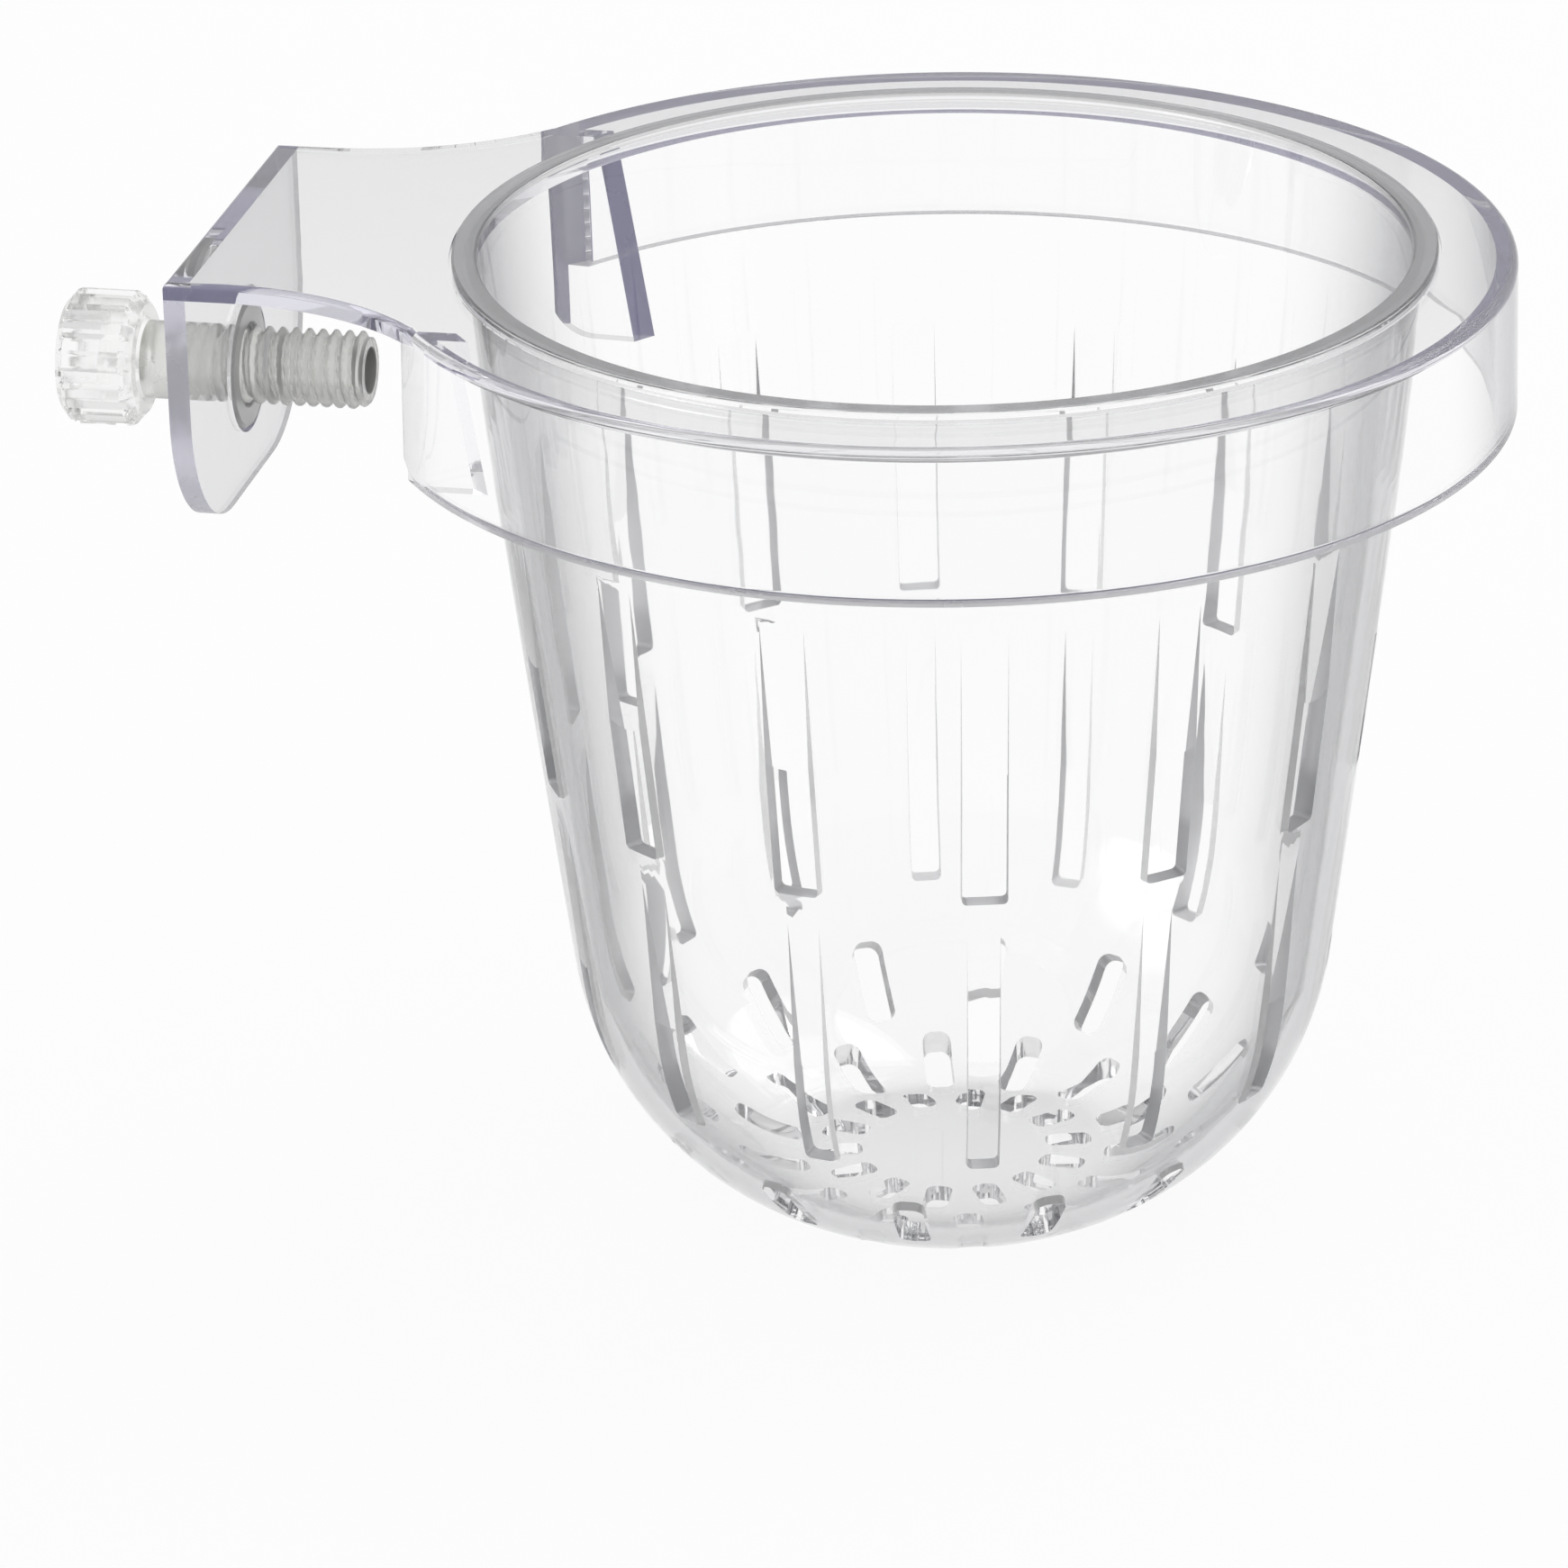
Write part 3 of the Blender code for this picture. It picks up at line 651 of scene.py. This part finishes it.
def knob_rings(data):
    """The knob from its outer end to where the shank starts."""
    rings = []
    for kind, (inward, off) in zip((plain, plain, knob, knob), KNOB_END):
        rings.append(ring_at(data, KNOB_BACK + inward * MM, kind(KNOB_RADIUS - off * MM)))
    for kind, (inward, off) in zip((knob, knob, plain, plain), KNOB_SHOULDER):
        rings.append(ring_at(data, KNOB_FRONT - inward * MM, kind(KNOB_RADIUS - off * MM)))
    rings.append(ring_at(data, KNOB_FRONT, plain(SCREW + SHANK_FILLET)))
    rings.append(ring_at(data, KNOB_FRONT + SHANK_FILLET, plain(SCREW)))
    return rings


def thread_rings(data):
    before_start, before_tip = 0.1 * MM, 0.02 * MM
    rings = []
    x = THREAD_START - before_start
    while x < TIP - before_tip:
        rings.append(ring_at(data, x, thread(x)))
        x += PITCH / THREAD_STEPS
    return rings


def tip_rings(data):
    """The flat end and the hollow in it, which narrows a little inward."""
    narrowing = 0.1 * MM
    return [
        ring_at(data, TIP, plain(SCREW - TIP_CHAMFER)),
        ring_at(data, TIP, plain(TIP_HOLLOW)),
        ring_at(data, TIP - narrowing, plain(TIP_HOLLOW - narrowing)),
        ring_at(data, TIP - TIP_HOLLOW_DEPTH, plain(TIP_HOLLOW - 2 * narrowing)),
        ring_at(data, TIP - TIP_HOLLOW_DEPTH - narrowing, plain(HOLE_END)),
    ]


def screw_faces(mesh):
    """Numbers of the looks: 1 shank, 2 hollow in the tip, which is coloured dark as painted shade."""
    shank_start, hollow_start = KNOB_FRONT + 0.2 * MM, TIP - 1.5 * MM
    centres = face_values(mesh, "center")
    radius = np.hypot(centres[:, 1], centres[:, 2] - AXIS_Z)
    shank = (centres[:, 0] > shank_start).astype(int)
    inside = radius < TIP_HOLLOW - 0.03 * MM
    hollow = (centres[:, 0] > hollow_start) & inside
    return shank + hollow


def build_screw():
    shallow_angle = 38  # the knob's chamfers stay smooth below it
    data = bmesh.new()
    loft(data, socket_rings(data) + knob_rings(data) + thread_rings(data) + tip_rings(data))
    screw = from_bmesh("screw_clear", data)
    give_materials(screw.data, screw_faces(screw.data))
    return smooth(screw, shallow_angle)


def build_nut():
    """The nut, with chamfers outside, a widened mouth at each end and two grooves in its bore."""
    front = -TANK_GAP / 2 + NUT_PROUD
    back = front - NUT_THICKNESS
    bore = SCREW + GAP
    grooves = [(bore + depth, back + height * MM)
               for height, depth in ((0.2, 0), (0.5, NUT_GROOVE), (0.8, 0), (1.1, NUT_GROOVE))]
    nut = lathe("nut_clear", [
        (bore + NUT_MOUTH, front),
        (NUT_RADIUS - NUT_CHAMFER, front),
        (NUT_RADIUS, front - NUT_CHAMFER),
        (NUT_RADIUS, back + NUT_CHAMFER),
        (NUT_RADIUS - NUT_CHAMFER, back),
        (bore + NUT_MOUTH, back),
        *grooves,
        (bore, front - NUT_MOUTH)], NUT_STEPS, closed=True)
    nut.rotation_euler = (0, math.pi / 2, 0)
    nut.location.z = AXIS_Z
    return smooth(nut)


# Shading
def blank(holder):
    holder.use_nodes = True
    holder.node_tree.nodes.clear()
    return holder.node_tree.nodes, holder.node_tree.links


def maths(nodes, links, operation, first, second):
    step = nodes.new("ShaderNodeMath")
    step.operation = operation
    for socket, value in zip(step.inputs, (first, second)):
        if isinstance(value, (int, float)):
            socket.default_value = value
        else:
            links.new(value, socket)
    return step.outputs[0]


def map_range(nodes, links, value, source, target, curve="LINEAR"):
    step = nodes.new("ShaderNodeMapRange")
    step.interpolation_type = curve
    step.inputs["From Min"].default_value, step.inputs["From Max"].default_value = source
    step.inputs["To Min"].default_value, step.inputs["To Max"].default_value = target
    links.new(value, step.inputs["Value"])
    return step.outputs["Result"]


def noise(nodes, links, where, scale, detail):
    step = nodes.new("ShaderNodeTexNoise")
    step.inputs["Scale"].default_value = scale
    step.inputs["Detail"].default_value = detail
    links.new(where.outputs["Object"], step.inputs["Vector"])
    return step.outputs["Fac"]


# Materials
HANGER_BODY = ((0.45, 0.44, 0.60), 11)  # colour and density of the plastic's volume
BASKET_BODY = ((0.54, 0.55, 0.58), 13)
SCREW_BODY = ((0.50, 0.50, 0.44), 8)
IOR = 1.49
HANGER_IOR = 1.43
KNOB_IOR = 1.42
WHITE = (1, 1, 1)
RIM_SHADE_TURN = (0.52, 0.92)  # how far a surface turns from the eye where the painted rim shade starts and is full
RIPPLE_DETAIL = 2
DUST_SCALE, DUST_DETAIL = 90, 6
DUST_RANGE = (0.4, 0.75)


# Painted shade: the colour goes darker where the surface turns away from the eye, standing in for the
# shade at the outlines
def painted_rim_shade(nodes, links, tint, rim_shade, turn):
    facing = nodes.new("ShaderNodeLayerWeight")
    shade = nodes.new("ShaderNodeMix")
    shade.data_type = "RGBA"
    links.new(map_range(nodes, links, facing.outputs["Facing"], turn, (0, 1), "SMOOTHSTEP"),
              shade.inputs["Factor"])
    colours = [socket for socket in shade.inputs if socket.type == "RGBA"]
    colours[0].default_value = (*tint, 1)
    colours[1].default_value = (*rim_shade, 1)
    return next(socket for socket in shade.outputs if socket.type == "RGBA")


def clear_plastic(name, body, ior, rough, haze, ripple, ripple_size,
                  tint=WHITE, rim_shade=None, turn=RIM_SHADE_TURN, through=1):
    """Clear plastic. Where the surface turns away from the eye, its tint goes over to a darker colour, a
    painted shade.

    The haze is the roughness that dust adds. Ripple and its size are the height and the width of
    the waves in the surface, and through is how much light passes.
    """
    material = bpy.data.materials.new(name)
    nodes, links = blank(material)
    out = nodes.new("ShaderNodeOutputMaterial")
    shell = nodes.new("ShaderNodeBsdfPrincipled")
    if rim_shade is None:
        shell.inputs["Base Color"].default_value = (*tint, 1)
    else:
        links.new(painted_rim_shade(nodes, links, tint, rim_shade, turn), shell.inputs["Base Color"])
    shell.inputs["Transmission Weight"].default_value = through
    shell.inputs["IOR"].default_value = ior
    where = nodes.new("ShaderNodeTexCoord")
    bump = nodes.new("ShaderNodeBump")
    bump.inputs["Strength"].default_value = 1
    bump.inputs["Distance"].default_value = ripple
    links.new(noise(nodes, links, where, 1 / ripple_size, RIPPLE_DETAIL), bump.inputs["Height"])
    links.new(bump.outputs["Normal"], shell.inputs["Normal"])
    dust = noise(nodes, links, where, DUST_SCALE, DUST_DETAIL)
    links.new(map_range(nodes, links, dust, DUST_RANGE, (rough, rough + haze)),
              shell.inputs["Roughness"])
    links.new(shell.outputs["BSDF"], out.inputs["Surface"])
    volume = nodes.new("ShaderNodeVolumeAbsorption")
    absorb, density = body
    volume.inputs["Color"].default_value = (*absorb, 1)
    volume.inputs["Density"].default_value = density
    links.new(volume.outputs["Volume"], out.inputs["Volume"])
    return material


def hanger_looks():
    return (
        clear_plastic(
            "hanger clear plastic", HANGER_BODY, HANGER_IOR, rough=0.01, haze=0.02,
            ripple=0.03 * MM, ripple_size=14 * MM, rim_shade=(0.18, 0.18, 0.20), turn=(0.55, 0.90)),
        # Painted shade: the back fin's ends are coloured dark lilac grey
        clear_plastic(
            "hanger fin end painted shade", HANGER_BODY, HANGER_IOR, rough=0.25, haze=0.05,
            ripple=0.03 * MM, ripple_size=4 * MM, tint=(0.42, 0.41, 0.60), through=0.45),
        # Painted shade: the plate's edge and the skirt's foot are tinted, and darker where they turn
        # from the eye, so they show as grey lines
        clear_plastic(
            "hanger edge line painted shade", HANGER_BODY, HANGER_IOR, rough=0.25, haze=0.05,
            ripple=0.03 * MM, ripple_size=4 * MM, tint=(0.92, 0.91, 0.99), rim_shade=(0.55, 0.55, 0.62),
            through=0.6),
        clear_plastic(
            "hanger fin root", HANGER_BODY, HANGER_IOR, rough=0.40, haze=0.05,
            ripple=0.02 * MM, ripple_size=10 * MM),
    )


def basket_looks():
    return (
        clear_plastic(
            "basket clear plastic", BASKET_BODY, IOR, rough=0.01, haze=0.02,
            ripple=0.02 * MM, ripple_size=16 * MM, rim_shade=(0.33, 0.33, 0.345), turn=(0.30, 0.82)),
        # Painted shade: the slot sides are coloured grey
        clear_plastic(
            "basket slot side painted shade", BASKET_BODY, IOR, rough=0.30, haze=0.10,
            ripple=0.05 * MM, ripple_size=3 * MM, tint=(0.88, 0.88, 0.89), through=0.7),
        # Painted shade: the top of the lip is coloured grey, and darker still where it turns from the
        # eye
        clear_plastic(
            "basket lip painted shade", BASKET_BODY, IOR, rough=0.20, haze=0.05,
            ripple=0.02 * MM, ripple_size=10 * MM, tint=(0.86, 0.86, 0.87), rim_shade=(0.50, 0.50, 0.51),
            through=0.7),
    )


def screw_looks():
    return (
        clear_plastic(
            "screw clear plastic", SCREW_BODY, KNOB_IOR, rough=0.12, haze=0.08,
            ripple=0.02 * MM, ripple_size=4 * MM, rim_shade=(0.70, 0.69, 0.67)),
        clear_plastic(
            "screw shank plastic", SCREW_BODY, IOR, rough=0.22, haze=0.08,
            ripple=0.02 * MM, ripple_size=3 * MM, tint=(0.97, 0.97, 0.95), rim_shade=(0.55, 0.55, 0.54),
            through=0.75),
        # Painted shade: the hollow in the tip is coloured dark grey
        clear_plastic(
            "screw tip hollow painted shade", SCREW_BODY, IOR, rough=0.25, haze=0.10,
            ripple=0.02 * MM, ripple_size=3 * MM, tint=(0.30, 0.30, 0.31), through=0.5),
    )


def nut_looks():
    return (
        clear_plastic(
            "nut plastic", SCREW_BODY, IOR, rough=0.22, haze=0.08,
            ripple=0.02 * MM, ripple_size=3 * MM, tint=(0.70, 0.70, 0.70), through=0.6),
    )


# The pieces take their looks and their places in the frame
for piece, node, body, slot, looks in (
    (build_hanger(), "hanger_bracket", "hanger", "hanger_plastic", hanger_looks()),
    (build_basket(), "basket", "basket", "basket_plastic", basket_looks()),
    (build_screw(), "clamp_screw", "clamp_screw", "screw_plastic", screw_looks()),
    (build_nut(), "clamp_nut", "hanger", "screw_plastic", nut_looks()),
):
    numbers = np.empty(len(piece.data.polygons), dtype=np.int32)
    piece.data.polygons.foreach_get("material_index", numbers)
    piece.data.materials.clear()
    for look in looks:
        piece.data.materials.append(look)
    give_materials(piece.data, numbers)
    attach(piece, body)
    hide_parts(node)
    # The solid that it replaces takes its main look too
    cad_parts[node].data.materials.clear()
    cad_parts[node].data.materials.append(looks[0])


# Floor
FLOOR_HALF = 2.5
FLOOR_GAP = 0.2 * MM
FLOOR_GREY = 0.90
FLOOR_GLOW = 0.93  # how much of the glow shows to the eye, in mirrors and through plastic


def floor_look():
    """Matte to the light that falls on it, and glowing white where it is seen."""
    material = bpy.data.materials.new("pale floor")
    nodes, links = blank(material)
    out = nodes.new("ShaderNodeOutputMaterial")
    matte = nodes.new("ShaderNodeBsdfDiffuse")
    matte.inputs["Color"].default_value = (FLOOR_GREY, FLOOR_GREY, FLOOR_GREY, 1)
    glow = nodes.new("ShaderNodeEmission")
    glow.inputs["Color"].default_value = (*WHITE, 1)
    glow.inputs["Strength"].default_value = 1
    mix = nodes.new("ShaderNodeMixShader")
    path = nodes.new("ShaderNodeLightPath")
    seen = maths(nodes, links, "MAXIMUM", path.outputs["Is Camera Ray"], path.outputs["Is Glossy Ray"])
    seen = maths(nodes, links, "MAXIMUM", seen, path.outputs["Is Transmission Ray"])
    links.new(maths(nodes, links, "MULTIPLY", seen, FLOOR_GLOW), mix.inputs["Fac"])
    links.new(matte.outputs[0], mix.inputs[1])
    links.new(glow.outputs[0], mix.inputs[2])
    links.new(mix.outputs[0], out.inputs["Surface"])
    return material


def build_floor():
    mesh = bpy.data.meshes.new("floor")
    corners = [(sx * FLOOR_HALF, sy * FLOOR_HALF, 0) for sx, sy in ((-1, -1), (1, -1), (1, 1), (-1, 1))]
    mesh.from_pydata(corners, [], [(0, 1, 2, 3)])
    mesh.materials.append(floor_look())
    thing = new_object("floor", mesh)
    thing.location = (RING_X, 0, BASE_Z - FLOOR_GAP)
    return thing


floor = build_floor()

# World: white at eye level, greyer overhead, with one soft patch of light
EYE_LEVEL, OVERHEAD = 0.10, 0.80  # heights on the sky where the change starts and ends
OVERHEAD_SHADE = 0.80
PATCH_DIRECTION = Vector((-0.80, -0.55, 0.20)).normalized()
PATCH_EDGE = 0.93  # cosine of the angle from the patch's middle to its edge
PATCH_STRENGTH = 2.5


def studio_world():
    world = bpy.data.worlds.new("studio")
    nodes, links = blank(world)
    out = nodes.new("ShaderNodeOutputWorld")
    coord = nodes.new("ShaderNodeTexCoord")
    split = nodes.new("ShaderNodeSeparateXYZ")
    links.new(coord.outputs["Generated"], split.inputs[0])
    height = map_range(nodes, links, split.outputs["Z"], (EYE_LEVEL, OVERHEAD),
                       (1.0, OVERHEAD_SHADE), "SMOOTHSTEP")
    patch = nodes.new("ShaderNodeVectorMath")
    patch.operation = "DOT_PRODUCT"
    patch.inputs[1].default_value = PATCH_DIRECTION
    links.new(coord.outputs["Generated"], patch.inputs[0])
    glare = map_range(nodes, links, patch.outputs["Value"], (PATCH_EDGE, 1.0),
                      (0, PATCH_STRENGTH), "SMOOTHERSTEP")
    studio = nodes.new("ShaderNodeBackground")
    links.new(maths(nodes, links, "ADD", height, glare), studio.inputs["Strength"])
    links.new(studio.outputs[0], out.inputs["Surface"])
    return world


scene.world = studio_world()

# Lamp
softbox = bpy.data.lights.new("softbox", "AREA")
softbox.shape = "DISK"
softbox.size = 1.6
softbox.energy = 8
lamp = new_object("softbox", softbox)
lamp.location = (RING_X + 0.8, 0.7, 1.4)
lamp.rotation_euler = (Vector((RING_X, 0, 0)) - lamp.location).to_track_quat("-Z", "Y").to_euler()

# Camera: round the flange's middle by direction and height, then turned to the photograph's view
PIXELS = 1741  # the photograph's width
FOCAL = 8440.578  # in the photograph's pixels
SENSOR = 36  # in millimetres, as the lens is
DISTANCE = 757.61 * MM
AZ, ELEV = math.radians(10.503), math.radians(19.300)
LOOK_AZ, LOOK_DOWN = math.radians(11.866), math.radians(23.321)
ROLL = math.radians(-1.164)


def from_front(azimuth, height):
    """Unit vector to a place seen from the middle, by its angles from the front and above level."""
    return Vector((math.sin(azimuth) * math.cos(height), -math.cos(azimuth) * math.cos(height),
                   math.sin(height)))


def photo_camera():
    place = Vector((RING_X, 0, FLANGE)) + DISTANCE * from_front(AZ, ELEV)
    forward = -from_front(LOOK_AZ, LOOK_DOWN)
    level = Vector((math.cos(LOOK_AZ), math.sin(LOOK_AZ), 0))
    upright = level.cross(forward)
    right = math.cos(ROLL) * level + math.sin(ROLL) * upright
    up = -math.sin(ROLL) * level + math.cos(ROLL) * upright
    data = bpy.data.cameras.new("camera")
    data.sensor_width = SENSOR
    data.lens = FOCAL * SENSOR / PIXELS
    data.clip_start = 0.01
    data.clip_end = 20
    thing = new_object("camera", data)
    thing.matrix_world = Matrix.Translation(place) @ Matrix((right, up, -forward)).transposed().to_4x4()
    return thing


scene.camera = photo_camera()
scene.view_settings.view_transform = "Standard"

# Light passes many walls of clear plastic, and turns dark where the bounces run out
BOUNCES = 64
scene.cycles.max_bounces = BOUNCES
scene.cycles.glossy_bounces = BOUNCES
scene.cycles.transmission_bounces = BOUNCES
